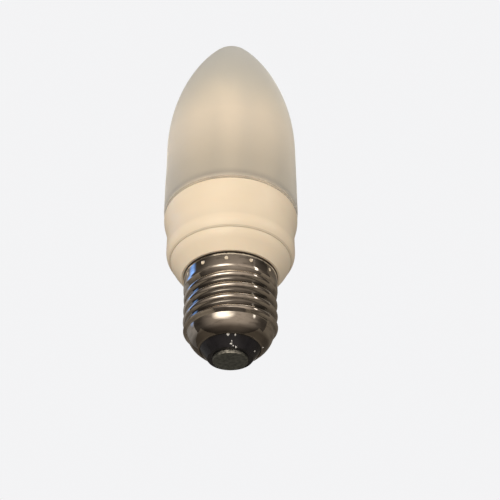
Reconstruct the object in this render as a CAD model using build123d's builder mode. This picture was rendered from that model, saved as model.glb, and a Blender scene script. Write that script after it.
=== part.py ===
"""Candle-shaped compact fluorescent lamp with an E27 screw cap.

The lamp's axis is Z and the globe's tip points up. The origin is on the axis, on the end face
of the centre contact, so every height below counts from the bottom of the lampholder's stroke.
Lengths are in millimetres.
"""
from build123d import *
import math
import os

os.makedirs("parts", exist_ok=True)

# Clearances between pieces that are pressed or glued together
fit_gap = 0.15
seat_gap = 0.10

# Screw cap: a rolled E27 shell, a black glass insulator and a contact disc
thread_diameter = 26.2
thread_depth = 1.05
thread_pitch = 3.629
crest_level = 20.3
root_flat = 0.18
root_land = 0.03
shell_sheet = 0.45
cap_height = 26.7
skirt_diameter = 26.5
skirt_height = 4.5
lip_diameter = 17.6
lip_height = 3.7
cone_height = 4.7
cone_spread = 3.2
cone_bulge = 0.5
runout_spread = 1.6
runout_height = 1.1
punch_count = 12
punch_angle = -94.4
punch_drop = 1.7
punch_size = 0.95
punch_depth = 0.25
notch_size = 0.35
rim_chamfer = 0.2
rim_gap = 0.35
insulator_end_diameter = 12.4
insulator_depth = 3.2
contact_diameter = 9.6
contact_thickness = 0.9
contact_edge = 0.3
lead_diameter = 1.0
lead_hole_gap = 0.25

# Globe: a barrel under a pointed arch, with a rounded nose and a neck in the collar
globe_radius = 19.95
globe_wall = 0.9
barrel_bulge = 0.05
barrel_height = 26.4
arch_radius = 72.0
nose_radius = 8.4
shoulder_radius = 1.5
neck_step = 2.15
neck_depth = 4.0

# Collar: flared at the top, straight waist, rounded lip over the bowl
collar_height = 15.9
collar_wall = 1.65
collar_inset = 0.2
flare_step = 1.1
flare_height = 6.6
flare_drop = 1.2
rim_width = 0.55
lip_rise = 3.0
lip_taper = 1.1
deck_thickness = 1.8

# Bowl of the lower housing
bowl_height = 5.9
bowl_wall = 1.5
bowl_foot = 0.7
bowl_cone_height = 3.1
bowl_cone_spread = 2.2
crease_step = 0.5
spigot_height = 5.9
spigot_wall = 1.4
spigot_neck_wall = 1.25
neck_reach = 12.2
rib_count = 4
rib_width = 1.4
rib_depth = 1.3
rib_height = 5.2

# Discharge tube: three bends of thin tube in a ring, joined into one path by two bridges
tube_diameter = 6.8
tube_clearance = 2.8
tube_rise = 22.0
tube_stub = 1.3
bend_count = 3
bridge_diameter = 3.2
bridge_height = 3.6
filament_wire = 0.8
filament_spread = 2.4

# Ballast: a round board with its parts hanging into the bowl and the cap
board_thickness = 1.6
electrolytic_diameter = 8.0
electrolytic_length = 16.0
electrolytic_groove = 0.4
choke_length = 9.0
choke_width = 7.0
choke_height = 8.0
choke_leg = 1.8
choke_gap = 1.2
film_length = 6.0
film_width = 3.0
film_height = 6.5
film_gap = 0.9
transistor_diameter = 4.4
transistor_height = 4.7
transistor_flat = 1.0
transistor_legs = 1.2
transistor_leg_width = 0.5
transistor_spacing = 6.8
diode_diameter = 2.4
diode_length = 4.6
diode_spacing = 3.0
neutral_drop = 1.6
neutral_bend = 2.0

# Radii and heights that follow from the sizes above
thread_radius = thread_diameter / 2
root_radius = thread_radius - thread_depth
skirt_radius = skirt_diameter / 2
bore_radius = root_radius - shell_sheet
skirt_bore_radius = skirt_radius - shell_sheet
lip_radius = lip_diameter / 2
lead_radius = lead_diameter / 2
tube_radius = tube_diameter / 2
bridge_radius = bridge_diameter / 2
contact_radius = contact_diameter / 2

crease_level = cap_height + bowl_height
collar_top = crease_level + collar_height
globe_seat = collar_top + seat_gap
arch_level = collar_top + barrel_height
deck_top = globe_seat - neck_depth - seat_gap
deck_bottom = deck_top - deck_thickness
skirt_level = cap_height - skirt_height
spigot_top = crease_level + spigot_height
board_level = spigot_top - board_thickness
board_top = board_level + board_thickness

globe_base_radius = globe_radius - barrel_bulge
neck_radius = globe_base_radius - neck_step
neck_bore_radius = neck_radius - globe_wall
flare_radius = globe_base_radius - collar_inset
waist_radius = flare_radius - flare_step
collar_bore_radius = waist_radius - collar_wall
spigot_radius = collar_bore_radius - fit_gap
spigot_bore_radius = spigot_radius - spigot_wall
bowl_radius = spigot_radius + crease_step
cap_neck_radius = bore_radius - fit_gap
cap_neck_bore_radius = cap_neck_radius - spigot_neck_wall
skirt_plug_radius = skirt_bore_radius - fit_gap
board_radius = spigot_bore_radius - fit_gap
leg_circle_radius = neck_bore_radius - tube_radius - tube_clearance


# Globe: outer and inner skins share the centres of the arch and of the nose
arch_centre_radius = globe_radius - arch_radius
nose_level = arch_level + math.sqrt((arch_radius - nose_radius) ** 2 - arch_centre_radius**2)
nose_lean = math.atan2(nose_level - arch_level, -arch_centre_radius)
nose_turn = (nose_lean + math.pi / 2) / 2


def arch_end(radius):
    """Point where an arch of this radius meets its nose."""
    return (arch_centre_radius + radius * math.cos(nose_lean), arch_level + radius * math.sin(nose_lean))


def arch_middle(radius):
    """Point half way along an arch of this radius."""
    return (
        arch_centre_radius + radius * math.cos(nose_lean / 2),
        arch_level + radius * math.sin(nose_lean / 2),
    )


def nose_middle(radius):
    """Point half way along a nose of this radius."""
    return (radius * math.cos(nose_turn), nose_level + radius * math.sin(nose_turn))


inner_arch = arch_radius - globe_wall
inner_nose = nose_radius - globe_wall
barrel_foot = globe_seat + shoulder_radius
with BuildPart() as glass_globe:
    with BuildSketch(Plane.XZ):
        with BuildLine():
            Line((neck_bore_radius, deck_top + seat_gap), (neck_radius, deck_top + seat_gap))
            Line((neck_radius, deck_top + seat_gap), (neck_radius, globe_seat))
            Line((neck_radius, globe_seat), (globe_base_radius - shoulder_radius, globe_seat))
            TangentArc(
                (globe_base_radius - shoulder_radius, globe_seat),
                (globe_base_radius, barrel_foot),
                tangent=(1, 0),
            )
            TangentArc(
                (globe_radius, arch_level),
                (globe_base_radius, barrel_foot),
                tangent=(0, -1),
            )
            ThreePointArc((globe_radius, arch_level), arch_middle(arch_radius), arch_end(arch_radius))
            ThreePointArc(arch_end(arch_radius), nose_middle(nose_radius), (0, nose_level + nose_radius))
            Line((0, nose_level + nose_radius), (0, nose_level + inner_nose))
            ThreePointArc((0, nose_level + inner_nose), nose_middle(inner_nose), arch_end(inner_arch))
            ThreePointArc(arch_end(inner_arch), arch_middle(inner_arch), (globe_radius - globe_wall, arch_level))
            TangentArc(
                (globe_radius - globe_wall, arch_level),
                (globe_base_radius - globe_wall, barrel_foot),
                tangent=(0, -1),
            )
            TangentArc(
                (globe_base_radius - globe_wall, barrel_foot),
                (globe_base_radius - shoulder_radius, globe_seat + globe_wall),
                tangent=(0, -1),
            )
            Line(
                (globe_base_radius - shoulder_radius, globe_seat + globe_wall),
                (neck_bore_radius, globe_seat + globe_wall),
            )
            Line((neck_bore_radius, globe_seat + globe_wall), (neck_bore_radius, deck_top + seat_gap))
        make_face()
    revolve(axis=Axis.Z)
glass_globe.part.label = "glass_globe"
export_step(glass_globe.part, "parts/glass_globe.step")

# Discharge tube: three bent tubes stand in the deck, and two bridges join them low down
leg_foot = deck_bottom - tube_stub
bend_radius = leg_circle_radius * math.sin(math.pi / (2 * bend_count))
bend_offset = leg_circle_radius * math.cos(math.pi / (2 * bend_count))
leg_top = arch_level + tube_rise - bend_radius - tube_radius
bridge_level = deck_top + bridge_height
with BuildPart() as discharge_tube:
    with BuildLine() as bend_path:
        up_leg = Line((bend_offset, -bend_radius, leg_foot), (bend_offset, -bend_radius, leg_top))
        bend = ThreePointArc(
            up_leg @ 1,
            (bend_offset, 0, leg_top + bend_radius),
            (bend_offset, bend_radius, leg_top),
        )
        Line(bend @ 1, (bend_offset, bend_radius, leg_foot))
    with BuildSketch(Plane(origin=bend_path.line @ 0, z_dir=bend_path.line % 0)):
        Circle(tube_radius)
    sweep(path=bend_path.line)
    one_bend = discharge_tube.part
    for turn in range(1, bend_count):
        add(one_bend.rotate(Axis.Z, turn * 360 / bend_count))
    for turn in range(bend_count - 1):
        bridge_angle = (turn + 0.5) * 360 / bend_count
        with Locations(Rotation(0, 0, bridge_angle)):
            with Locations((bend_offset, 0, bridge_level)):
                Cylinder(bridge_radius, 2 * bend_radius, rotation=(90, 0, 0))
discharge_tube.part.label = "discharge_tube"
export_step(discharge_tube.part, "parts/discharge_tube.step")

# Collar: one moulding with the globe's seat on top, the tube deck across it and a socket below
flare_top = collar_top - flare_drop
with BuildPart() as collar:
    with BuildSketch(Plane.XZ):
        with BuildLine():
            Line((collar_bore_radius, crease_level), (waist_radius - lip_taper, crease_level))
            TangentArc(
                (waist_radius, crease_level + lip_rise),
                (waist_radius - lip_taper, crease_level),
                tangent=(0, -1),
            )
            Line((waist_radius, crease_level + lip_rise), (waist_radius, flare_top - flare_height))
            Spline(
                (waist_radius, flare_top - flare_height),
                (flare_radius, flare_top),
                tangents=((0, 1), (0, 1)),
            )
            TangentArc((flare_radius, flare_top), (flare_radius - rim_width, collar_top), tangent=(0, 1))
            Line((flare_radius - rim_width, collar_top), (neck_radius + fit_gap, collar_top))
            Line((neck_radius + fit_gap, collar_top), (neck_radius + fit_gap, deck_top))
            Line((neck_radius + fit_gap, deck_top), (0, deck_top))
            Line((0, deck_top), (0, deck_bottom))
            Line((0, deck_bottom), (collar_bore_radius, deck_bottom))
            Line((collar_bore_radius, deck_bottom), (collar_bore_radius, crease_level))
        make_face()
    revolve(axis=Axis.Z)
    with BuildSketch(Plane.XY.offset(deck_bottom)):
        with PolarLocations(leg_circle_radius, 2 * bend_count, start_angle=-90 / bend_count):
            Circle(tube_radius + fit_gap)
    extrude(amount=deck_thickness, mode=Mode.SUBTRACT)
collar.part.label = "collar"
export_step(collar.part, "parts/collar.step")

# Lower housing: a bowl with a spigot in the collar and a neck plugged into the screw shell
foot_radius = skirt_radius + bowl_foot
bowl_foot_level = cap_height + rim_gap
cone_end = (foot_radius + bowl_cone_spread, bowl_foot_level + bowl_cone_height)
cone_length = math.hypot(bowl_cone_spread, bowl_cone_height)
floor_level = bowl_foot_level + bowl_wall
cone_slope = bowl_cone_spread / bowl_cone_height
floor_radius = foot_radius + bowl_wall * cone_slope - bowl_wall * cone_length / bowl_cone_height
wall_level = floor_level + (spigot_bore_radius - floor_radius) / cone_slope
plug_level = skirt_level + shell_sheet + skirt_bore_radius - bore_radius + seat_gap
with BuildPart() as lower_housing:
    with BuildSketch(Plane.XZ):
        with BuildLine():
            Line((cap_neck_bore_radius, cap_height - neck_reach), (cap_neck_radius, cap_height - neck_reach))
            Line((cap_neck_radius, cap_height - neck_reach), (cap_neck_radius, plug_level))
            Line((cap_neck_radius, plug_level), (skirt_plug_radius, plug_level))
            Line((skirt_plug_radius, plug_level), (skirt_plug_radius, bowl_foot_level))
            Line((skirt_plug_radius, bowl_foot_level), (foot_radius, bowl_foot_level))
            bowl_cone = Line((foot_radius, bowl_foot_level), cone_end)
            TangentArc(cone_end, (bowl_radius, crease_level), tangent=bowl_cone % 1)
            Line((bowl_radius, crease_level), (spigot_radius, crease_level))
            Line((spigot_radius, crease_level), (spigot_radius, spigot_top))
            Line((spigot_radius, spigot_top), (spigot_bore_radius, spigot_top))
            Line((spigot_bore_radius, spigot_top), (spigot_bore_radius, wall_level))
            Line((spigot_bore_radius, wall_level), (floor_radius, floor_level))
            Line((floor_radius, floor_level), (cap_neck_bore_radius, floor_level))
            Line((cap_neck_bore_radius, floor_level), (cap_neck_bore_radius, cap_height - neck_reach))
        make_face()
    revolve(axis=Axis.Z)
    rib_middle = spigot_bore_radius - rib_depth / 2 + bowl_wall / 4
    with BuildSketch(Plane.XY.offset(board_level)):
        with PolarLocations(rib_middle, rib_count, start_angle=45):
            Rectangle(rib_depth + bowl_wall / 2, rib_width)
    extrude(amount=-rib_height)
lower_housing.part.label = "lower_housing"
export_step(lower_housing.part, "parts/lower_housing.step")

# Thread of the screw shell: a rounded ridge swept up a helix, longer than the cap at both ends
ridge_half = thread_pitch / 2 - root_flat / 2
ridge_sink = shell_sheet * 0.7
thread_foot = crest_level - 6 * thread_pitch
with BuildPart() as thread_ridge:
    with BuildLine() as thread_path:
        Helix(thread_pitch, 7.5 * thread_pitch, root_radius, center=(0, 0, thread_foot))
    with BuildSketch(Plane(origin=thread_path.line @ 0, x_dir=(1, 0, 0), z_dir=thread_path.line % 0)):
        with BuildLine():
            Line((-ridge_sink, -ridge_half), (0, -ridge_half))
            lower_root = TangentArc((0, -ridge_half), (thread_depth / 2, -ridge_half / 2), tangent=(0, 1))
            crest = TangentArc(
                (thread_depth / 2, -ridge_half / 2),
                (thread_depth / 2, ridge_half / 2),
                tangent=lower_root % 1,
            )
            TangentArc((thread_depth / 2, ridge_half / 2), (0, ridge_half), tangent=crest % 1)
            Line((0, ridge_half), (-ridge_sink, ridge_half))
            Line((-ridge_sink, ridge_half), (-ridge_sink, -ridge_half))
        make_face()
    sweep(path=thread_path.line, is_frenet=True)

# Screw shell: the threaded barrel is trimmed to the cap's rounded underside, where the thread runs
# out, then gets its skirt and its bore. The underside bulges out from the cone by a little.
cone_top = lip_height + cone_height
cone_slope_cap = cone_spread / cone_height
cone_side = math.hypot(cone_spread, cone_height)
bulge_point = (
    lip_radius + cone_spread / 2 + cone_bulge * cone_height / cone_side,
    lip_height + cone_height / 2 - cone_bulge * cone_spread / cone_side,
)
runout_radius = lip_radius + cone_spread + runout_spread
runout_level = cone_top + runout_height
bore_cone_height = (bore_radius - lip_radius + shell_sheet) / cone_slope_cap
skirt_foot = skirt_level - (skirt_radius - root_radius)
skirt_bore_level = skirt_level + shell_sheet
with BuildPart() as screw_shell:
    Cylinder(root_radius + root_land, 3 * cap_height)
    add(thread_ridge.part, rotation=(0, 0, -90))
    with BuildSketch(Plane.XZ):
        with BuildLine():
            Line((0, lip_height), (lip_radius, lip_height))
            ThreePointArc((lip_radius, lip_height), bulge_point, (lip_radius + cone_spread, cone_top))
            Line((lip_radius + cone_spread, cone_top), (runout_radius, runout_level))
            Line((runout_radius, runout_level), (runout_radius, skirt_level + 1))
            Line((runout_radius, skirt_level + 1), (0, skirt_level + 1))
            Line((0, skirt_level + 1), (0, lip_height))
        make_face()
    revolve(axis=Axis.Z, mode=Mode.INTERSECT)
    with BuildSketch(Plane.XZ):
        with BuildLine():
            Polyline(
                (root_radius - shell_sheet / 2, skirt_foot),
                (root_radius, skirt_foot),
                (skirt_radius, skirt_level),
                (skirt_radius, cap_height - rim_chamfer),
                (skirt_radius - rim_chamfer, cap_height),
                (root_radius - shell_sheet / 2, cap_height),
                close=True,
            )
        make_face()
    revolve(axis=Axis.Z)
    with BuildSketch(Plane.XZ):
        with BuildLine():
            Polyline(
                (0, lip_height),
                (lip_radius - shell_sheet, lip_height),
                (bore_radius, lip_height + bore_cone_height),
                (bore_radius, skirt_bore_level),
                (skirt_bore_radius, skirt_bore_level + skirt_bore_radius - bore_radius),
                (skirt_bore_radius, cap_height),
                (0, cap_height),
                close=True,
            )
        make_face()
    revolve(axis=Axis.Z, mode=Mode.SUBTRACT)
    with Locations((0, 0, cap_height - punch_drop)):
        with PolarLocations(skirt_radius + punch_size - punch_depth, punch_count, start_angle=punch_angle):
            Sphere(punch_size, mode=Mode.SUBTRACT)
    with Locations((0, 0, cap_height)):
        with PolarLocations(skirt_radius, punch_count // 2, start_angle=punch_angle):
            Cylinder(notch_size, 4 * shell_sheet, rotation=(0, 90, 0), mode=Mode.SUBTRACT)
screw_shell.part.label = "screw_shell"
export_step(screw_shell.part, "parts/screw_shell.step")

# Insulator: black glass moulded into the shell's cone, with a hole for the live lead
insulator_lip = lip_radius - shell_sheet - seat_gap
insulator_top = lip_height + insulator_depth
with BuildPart() as cap_insulator:
    with BuildSketch(Plane.XZ):
        with BuildLine():
            Polyline(
                (lead_radius + lead_hole_gap, contact_thickness),
                (insulator_end_diameter / 2, contact_thickness),
                (insulator_lip, lip_height),
                (insulator_lip + insulator_depth * cone_slope_cap, insulator_top),
                (lead_radius + lead_hole_gap, insulator_top),
                close=True,
            )
        make_face()
    revolve(axis=Axis.Z)
cap_insulator.part.label = "cap_insulator"
export_step(cap_insulator.part, "parts/cap_insulator.step")

# Centre contact: a stamped disc with a rounded edge
with BuildPart() as centre_contact:
    Cylinder(contact_radius, contact_thickness, align=(Align.CENTER, Align.CENTER, Align.MIN))
    fillet(centre_contact.edges().group_by(Axis.Z)[0], contact_edge)
centre_contact.part.label = "centre_contact"
export_step(centre_contact.part, "parts/centre_contact.step")

# Ballast board: a round laminate on the housing's ribs
with BuildPart() as ballast_board:
    with BuildSketch(Plane.XY.offset(board_level)):
        Circle(board_radius)
    extrude(amount=board_thickness)
ballast_board.part.label = "ballast_board"
export_step(ballast_board.part, "parts/ballast_board.step")

# Electrolytic capacitor: hangs from the board into the cap's neck, with a crimped groove
electrolytic_place = -(cap_neck_bore_radius + lead_radius) / 2
electrolytic_radius = electrolytic_diameter / 2
crimp_level = board_level - electrolytic_diameter / 4
with BuildPart() as smoothing_capacitor:
    with BuildSketch(Plane.XY.offset(board_level)):
        with Locations((electrolytic_place, 0)):
            Circle(electrolytic_radius)
    extrude(amount=-electrolytic_length)
    fillet(smoothing_capacitor.edges().group_by(Axis.Z)[0], electrolytic_groove)
    with Locations((electrolytic_place, 0, crimp_level)):
        Torus(electrolytic_radius + electrolytic_groove / 2, electrolytic_groove, mode=Mode.SUBTRACT)
smoothing_capacitor.part.label = "smoothing_capacitor"
export_step(smoothing_capacitor.part, "parts/smoothing_capacitor.step")

# Choke: a ferrite frame round a middle leg, with its winding wrapped on that leg
choke_place = lead_radius + choke_gap + choke_width / 2
choke_middle = board_level - choke_height / 2
window_height = choke_height - 2 * choke_leg
window_length = (choke_length - 3 * choke_leg) / 2
window_place = (window_length + choke_leg) / 2
with BuildPart() as choke_core:
    with Locations((choke_place, 0, choke_middle)):
        Box(choke_width, choke_length, choke_height)
        with Locations((0, window_place, 0), (0, -window_place, 0)):
            Box(choke_width, window_length, window_height, mode=Mode.SUBTRACT)
choke_core.part.label = "choke_core"
export_step(choke_core.part, "parts/choke_core.step")

with BuildPart() as choke_winding:
    with BuildSketch(Plane.XY.offset(choke_middle - window_height / 2 + seat_gap)):
        with Locations((choke_place, 0)):
            Rectangle(choke_width + 2 * choke_gap - 2 * fit_gap, choke_leg + 2 * window_length - 2 * fit_gap)
            Rectangle(choke_width + 2 * seat_gap, choke_leg + 2 * seat_gap, mode=Mode.SUBTRACT)
    extrude(amount=window_height - 2 * seat_gap)
choke_winding.part.label = "choke_winding"
export_step(choke_winding.part, "parts/choke_winding.step")

# Film capacitor: a dipped block beside the choke
film_place = choke_length / 2 + film_gap + film_width / 2
with BuildPart() as film_capacitor:
    with BuildSketch(Plane.XY.offset(board_level)):
        with Locations((choke_place - choke_width / 2, film_place)):
            RectangleRounded(film_length, film_width, film_width / 4)
    extrude(amount=-film_height)
film_capacitor.part.label = "film_capacitor"
export_step(film_capacitor.part, "parts/film_capacitor.step")

# Switching transistors: a pair of round bodies with one flat side, each on three legs
transistor_row = -(choke_length / 2 + film_gap + transistor_diameter / 2)
transistor_level = board_level - transistor_legs
with BuildPart() as switching_transistors:
    with BuildSketch(Plane.XY.offset(transistor_level)):
        with Locations((-transistor_spacing / 2, transistor_row), (transistor_spacing / 2, transistor_row)):
            Circle(transistor_diameter / 2)
            with Locations((0, transistor_diameter / 2)):
                Rectangle(transistor_diameter, 2 * transistor_flat, mode=Mode.SUBTRACT)
    extrude(amount=-transistor_height)
    with BuildSketch(Plane.XY.offset(transistor_level)):
        with Locations((-transistor_spacing / 2, transistor_row), (transistor_spacing / 2, transistor_row)):
            with GridLocations(transistor_diameter / 3.5, 0, 3, 1):
                Rectangle(transistor_leg_width, transistor_leg_width)
    extrude(amount=transistor_legs)
switching_transistors.part.label = "switching_transistors"
export_step(switching_transistors.part, "parts/switching_transistors.step")

# Rectifier diodes: four in a row on top of the board, clear of the tube's feet
with BuildPart() as rectifier_diodes:
    with Locations((0, 0, board_top + diode_diameter / 2)):
        with GridLocations(0, diode_spacing, 1, 4):
            Cylinder(diode_diameter / 2, diode_length, rotation=(0, 90, 0))
rectifier_diodes.part.label = "rectifier_diodes"
export_step(rectifier_diodes.part, "parts/rectifier_diodes.step")

# Filament wires: two from each end of the discharge path down to the board
path_ends = (-90 / bend_count, -3 * 90 / bend_count)
with BuildPart() as filament_leads:
    with BuildSketch(Plane.XY.offset(board_top)):
        for end_angle in path_ends:
            with PolarLocations(leg_circle_radius, 1, start_angle=end_angle):
                with GridLocations(0, filament_spread, 1, 2):
                    Circle(filament_wire / 2)
    extrude(amount=leg_foot - board_top)
filament_leads.part.label = "filament_leads"
export_step(filament_leads.part, "parts/filament_leads.step")

# Live lead: straight up the axis from the contact, through the insulator, to the board
with BuildPart() as live_lead:
    with BuildSketch(Plane.XY.offset(contact_thickness)):
        Circle(lead_radius)
    extrude(amount=board_level - contact_thickness)
live_lead.part.label = "live_lead"
export_step(live_lead.part, "parts/live_lead.step")

# Neutral lead: down past the neck's lower edge, then out to the shell's wall
neutral_level = cap_height - neck_reach - neutral_drop
neutral_row = transistor_row
neutral_end = -math.sqrt((bore_radius - seat_gap) ** 2 - lead_radius**2)
with BuildPart() as neutral_lead:
    with BuildLine() as neutral_path:
        FilletPolyline(
            (0, neutral_row, board_level),
            (0, neutral_row, neutral_level),
            (0, neutral_end, neutral_level),
            radius=neutral_bend,
        )
    with BuildSketch(Plane(origin=neutral_path.line @ 0, z_dir=neutral_path.line % 0)):
        Circle(lead_radius)
    sweep(path=neutral_path.line)
neutral_lead.part.label = "neutral_lead"
export_step(neutral_lead.part, "parts/neutral_lead.step")
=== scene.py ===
# %% [markdown]
# # A candle lamp with a frosted globe and a screw cap
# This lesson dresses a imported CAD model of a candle-shaped compact fluorescent lamp. The solids
# already have the right shapes, so most of the work is light and finish: frosted glass with
# a tube behind it, warm moulded plastic, plated metal, black glass and a dull contact.
# The lamp's axis is Z, its tip points up, and everything is in metres.

# %% Load the model
import bpy
import bmesh
import math
import random
from mathutils import Matrix, Vector
from mathutils.bvhtree import BVHTree


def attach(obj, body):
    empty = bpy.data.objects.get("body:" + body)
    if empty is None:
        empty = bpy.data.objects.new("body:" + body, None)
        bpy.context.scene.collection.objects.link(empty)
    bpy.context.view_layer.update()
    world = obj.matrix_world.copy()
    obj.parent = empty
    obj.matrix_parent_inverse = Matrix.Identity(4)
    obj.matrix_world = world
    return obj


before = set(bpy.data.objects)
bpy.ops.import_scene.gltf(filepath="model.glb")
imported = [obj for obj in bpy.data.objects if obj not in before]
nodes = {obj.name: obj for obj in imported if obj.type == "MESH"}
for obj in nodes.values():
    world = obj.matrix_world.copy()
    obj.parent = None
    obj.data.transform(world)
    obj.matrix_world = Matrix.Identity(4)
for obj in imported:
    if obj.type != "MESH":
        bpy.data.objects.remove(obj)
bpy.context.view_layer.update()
scene = bpy.context.scene

# %% [markdown]
# ## The camera
# The picture was taken from the cap's side: the camera is low in front of the lamp and looks up
# at it, so the cap is near and large and the tip is far and small. A camera could be aimed with
# a Track To constraint, but its roll and its framing are then hard to set. The rim of the cap is
# a crisp circle, so we aim from it instead: three lengths say where the rim lies as the camera
# sees it, and two angles say how the lamp's axis lies. The distance decides how much the far end
# shrinks, and the lens then fills the frame.

# %% Where the lamp lies in the camera's view
RIM_CENTRE = Vector((0.0, 0.0, 0.0267))
RIM_RIGHT = -0.0055
RIM_DOWN = 0.0085
RIM_AWAY = 0.28395
LOOK_UP = math.radians(36.47)
LEAN = math.radians(-0.55)


def aim_at_rim():
    """Rotation and place of a camera that sees the lamp's axis rise up the frame."""
    rise, slope = math.cos(LOOK_UP), math.sin(LOOK_UP)
    sideways, upright = math.sin(LEAN), math.cos(LEAN)
    axis = Vector((sideways * rise, -upright * rise, slope))
    front = Vector((-sideways * slope, -upright * slope, -rise))
    front = (front - axis * front.dot(axis)).normalized()
    side = axis.cross(front)
    right = Vector((side.x, -front.x, axis.x))
    down = Vector((side.y, -front.y, axis.y))
    away = Vector((side.z, -front.z, axis.z))
    place = RIM_CENTRE - right * RIM_RIGHT - down * RIM_DOWN - away * RIM_AWAY
    turn = Matrix((right, -down, -away)).transposed()
    return Matrix.Translation(place) @ turn.to_4x4()


print("the rim is", RIM_AWAY, "m from the camera")

# %% [markdown]
# The lens follows from the picture: its perspective fits a lens 1000 pixels long in a frame of 500.
# Blender counts in millimetres on a sensor, so the lens is the sensor's width times the ratio of
# the two. Any sensor would do, and 36 mm is the usual one.

# %% Place the camera
LENS_PIXELS = 1000.0
FRAME_PIXELS = 500.0
SENSOR_MM = 36.0
camera_data = bpy.data.cameras.new("picture_camera")
camera_data.sensor_width = SENSOR_MM
camera_data.lens = SENSOR_MM * LENS_PIXELS / FRAME_PIXELS
camera = bpy.data.objects.new("picture_camera", camera_data)
camera.matrix_world = aim_at_rim()
scene.collection.objects.link(camera)
scene.camera = camera
camera_place = [round(value, 3) for value in camera.matrix_world.translation]
print("camera at", camera_place, "lens", camera_data.lens, "mm")

# %% [markdown]
# ## Helpers for node trees
# The world and every finish are graphs of nodes. They could be drawn by hand in the shader
# editor, but in a script the same few moves come again and again, so they get short helpers.
# Each one makes a node, feeds it and hands back its output. What it is fed with is either another
# node's output, which is linked, or a plain number or colour, which is set on the socket.

# %% Feeding sockets, and sums with numbers and directions


def feed(tree, source, socket):
    """Link a node's output to a socket, or set a plain number, colour or direction on it."""
    if isinstance(source, bpy.types.NodeSocket):
        tree.links.new(source, socket)
    elif socket.type == "RGBA":
        socket.default_value = (*source, 1.0)
    else:
        socket.default_value = source


def node_math(tree, operation, first, second):
    """One sum with two numbers."""
    step = tree.nodes.new("ShaderNodeMath")
    step.operation = operation
    feed(tree, first, step.inputs[0])
    feed(tree, second, step.inputs[1])
    return step.outputs["Value"]


def node_vector(tree, operation, first, second=None, result="Vector"):
    """One sum with one or two directions."""
    step = tree.nodes.new("ShaderNodeVectorMath")
    step.operation = operation
    feed(tree, first, step.inputs[0])
    if second is not None:
        feed(tree, second, step.inputs[1])
    return step.outputs[result]


print("helpers for sums are ready")

# %% [markdown]
# Three more moves turn a number into a colour. A range shifts a number to where it is wanted and
# holds it at the ends, a ramp gives each number a colour, and a blend mixes two colours by
# a number. Most finishes below are chains of these three.

# %% Ranges, ramps and blends


def node_range(tree, source, low, high, from_low=0.0, from_high=1.0, smooth=False):
    """A number moved from one range to another, and held at its ends."""
    span = tree.nodes.new("ShaderNodeMapRange")
    if smooth:
        span.interpolation_type = "SMOOTHSTEP"
    span.inputs["From Min"].default_value = from_low
    span.inputs["From Max"].default_value = from_high
    span.inputs["To Min"].default_value = low
    span.inputs["To Max"].default_value = high
    tree.links.new(source, span.inputs["Value"])
    return span.outputs["Result"]


def node_ramp(tree, source, stops):
    """A colour that changes with a number, given as (position, colour) stops."""
    ramp = tree.nodes.new("ShaderNodeValToRGB")
    while len(ramp.color_ramp.elements) < len(stops):
        ramp.color_ramp.elements.new(0.5)
    for element, (position, colour) in zip(ramp.color_ramp.elements, stops):
        element.position = position
        element.color = (*colour, 1.0)
    tree.links.new(source, ramp.inputs["Fac"])
    return ramp.outputs["Color"]


def node_blend(tree, amount, first, second):
    """A mix of two colours by an amount."""
    mix = tree.nodes.new("ShaderNodeMix")
    mix.data_type = "RGBA"
    tree.links.new(amount, mix.inputs["Factor"])
    feed(tree, first, mix.inputs["A"])
    feed(tree, second, mix.inputs["B"])
    return mix.outputs["Result"]


print("helpers for ranges, ramps and blends are ready")

# %% [markdown]
# ## The world
# A lamp like this is photographed in a light tent: pale cloth beyond it, a darker room behind the
# camera. Plated metal reads as metal only where it mirrors both light and dark, so what the cap
# mirrors needs care. A panorama could be hung round the lamp, but a ramp from front to back is
# enough, with a dim warm glow in front for the light that a room gives back.

# %% What mirrors and glass see
TENT_PALE = (0.90, 0.90, 0.91)
TENT_DARK = (0.065, 0.057, 0.05)
DARK_UNTIL = 0.62
PALE_FROM = 0.85
GLOW_TOWARDS = Vector((0.10, -0.97, -0.14))
GLOW_SQUEEZE = (0.55, 1.0, 0.7)
GLOW_FALL = 2.6
GLOW_COLOUR = (0.56, 0.49, 0.43)


def tent_colour(tree):
    """The tent's colour by direction: a ramp from front to back, and the glow on top of it."""
    towards = tree.nodes.new("ShaderNodeTexCoord").outputs["Generated"]
    split = tree.nodes.new("ShaderNodeSeparateXYZ")
    tree.links.new(towards, split.inputs["Vector"])
    depth = node_range(tree, split.outputs["Y"], 0.0, 1.0, from_low=-1.0, from_high=1.0)
    cloth = node_ramp(tree, depth, ((DARK_UNTIL, TENT_DARK), (PALE_FROM, TENT_PALE)))
    squeezed = node_vector(tree, "MULTIPLY", towards, GLOW_SQUEEZE)
    level = node_vector(tree, "NORMALIZE", squeezed)
    facing = node_vector(tree, "DOT_PRODUCT", level, GLOW_TOWARDS.normalized(), result="Value")
    ahead = node_math(tree, "MAXIMUM", facing, 0.0)
    glow = node_math(tree, "POWER", ahead, GLOW_FALL)
    return node_blend(tree, glow, cloth, GLOW_COLOUR)


print("the tent is dark up to", DARK_UNTIL, "and pale from", PALE_FROM, "of its depth")

# %% [markdown]
# One bright world would do for the backdrop, but it would also light the lamp too much and turn
# the cap into white enamel. So the world answers each kind of ray in its own way, which the Light
# Path node tells apart. The camera sees an even, pale backdrop, mirrors and glass see the tent, and
# all other rays meet a plain soft light.

# %% Build the world
SOFT_COLOUR = (1.0, 0.97, 0.93)
SOFT_STRENGTH = 0.46
scene.view_settings.view_transform = "Standard"


def world_light(tree, colour, strength=1.0):
    """A background of one colour, or of a colour that nodes work out."""
    light = tree.nodes.new("ShaderNodeBackground")
    feed(tree, colour, light.inputs["Color"])
    light.inputs["Strength"].default_value = strength
    return light.outputs["Background"]


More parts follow.
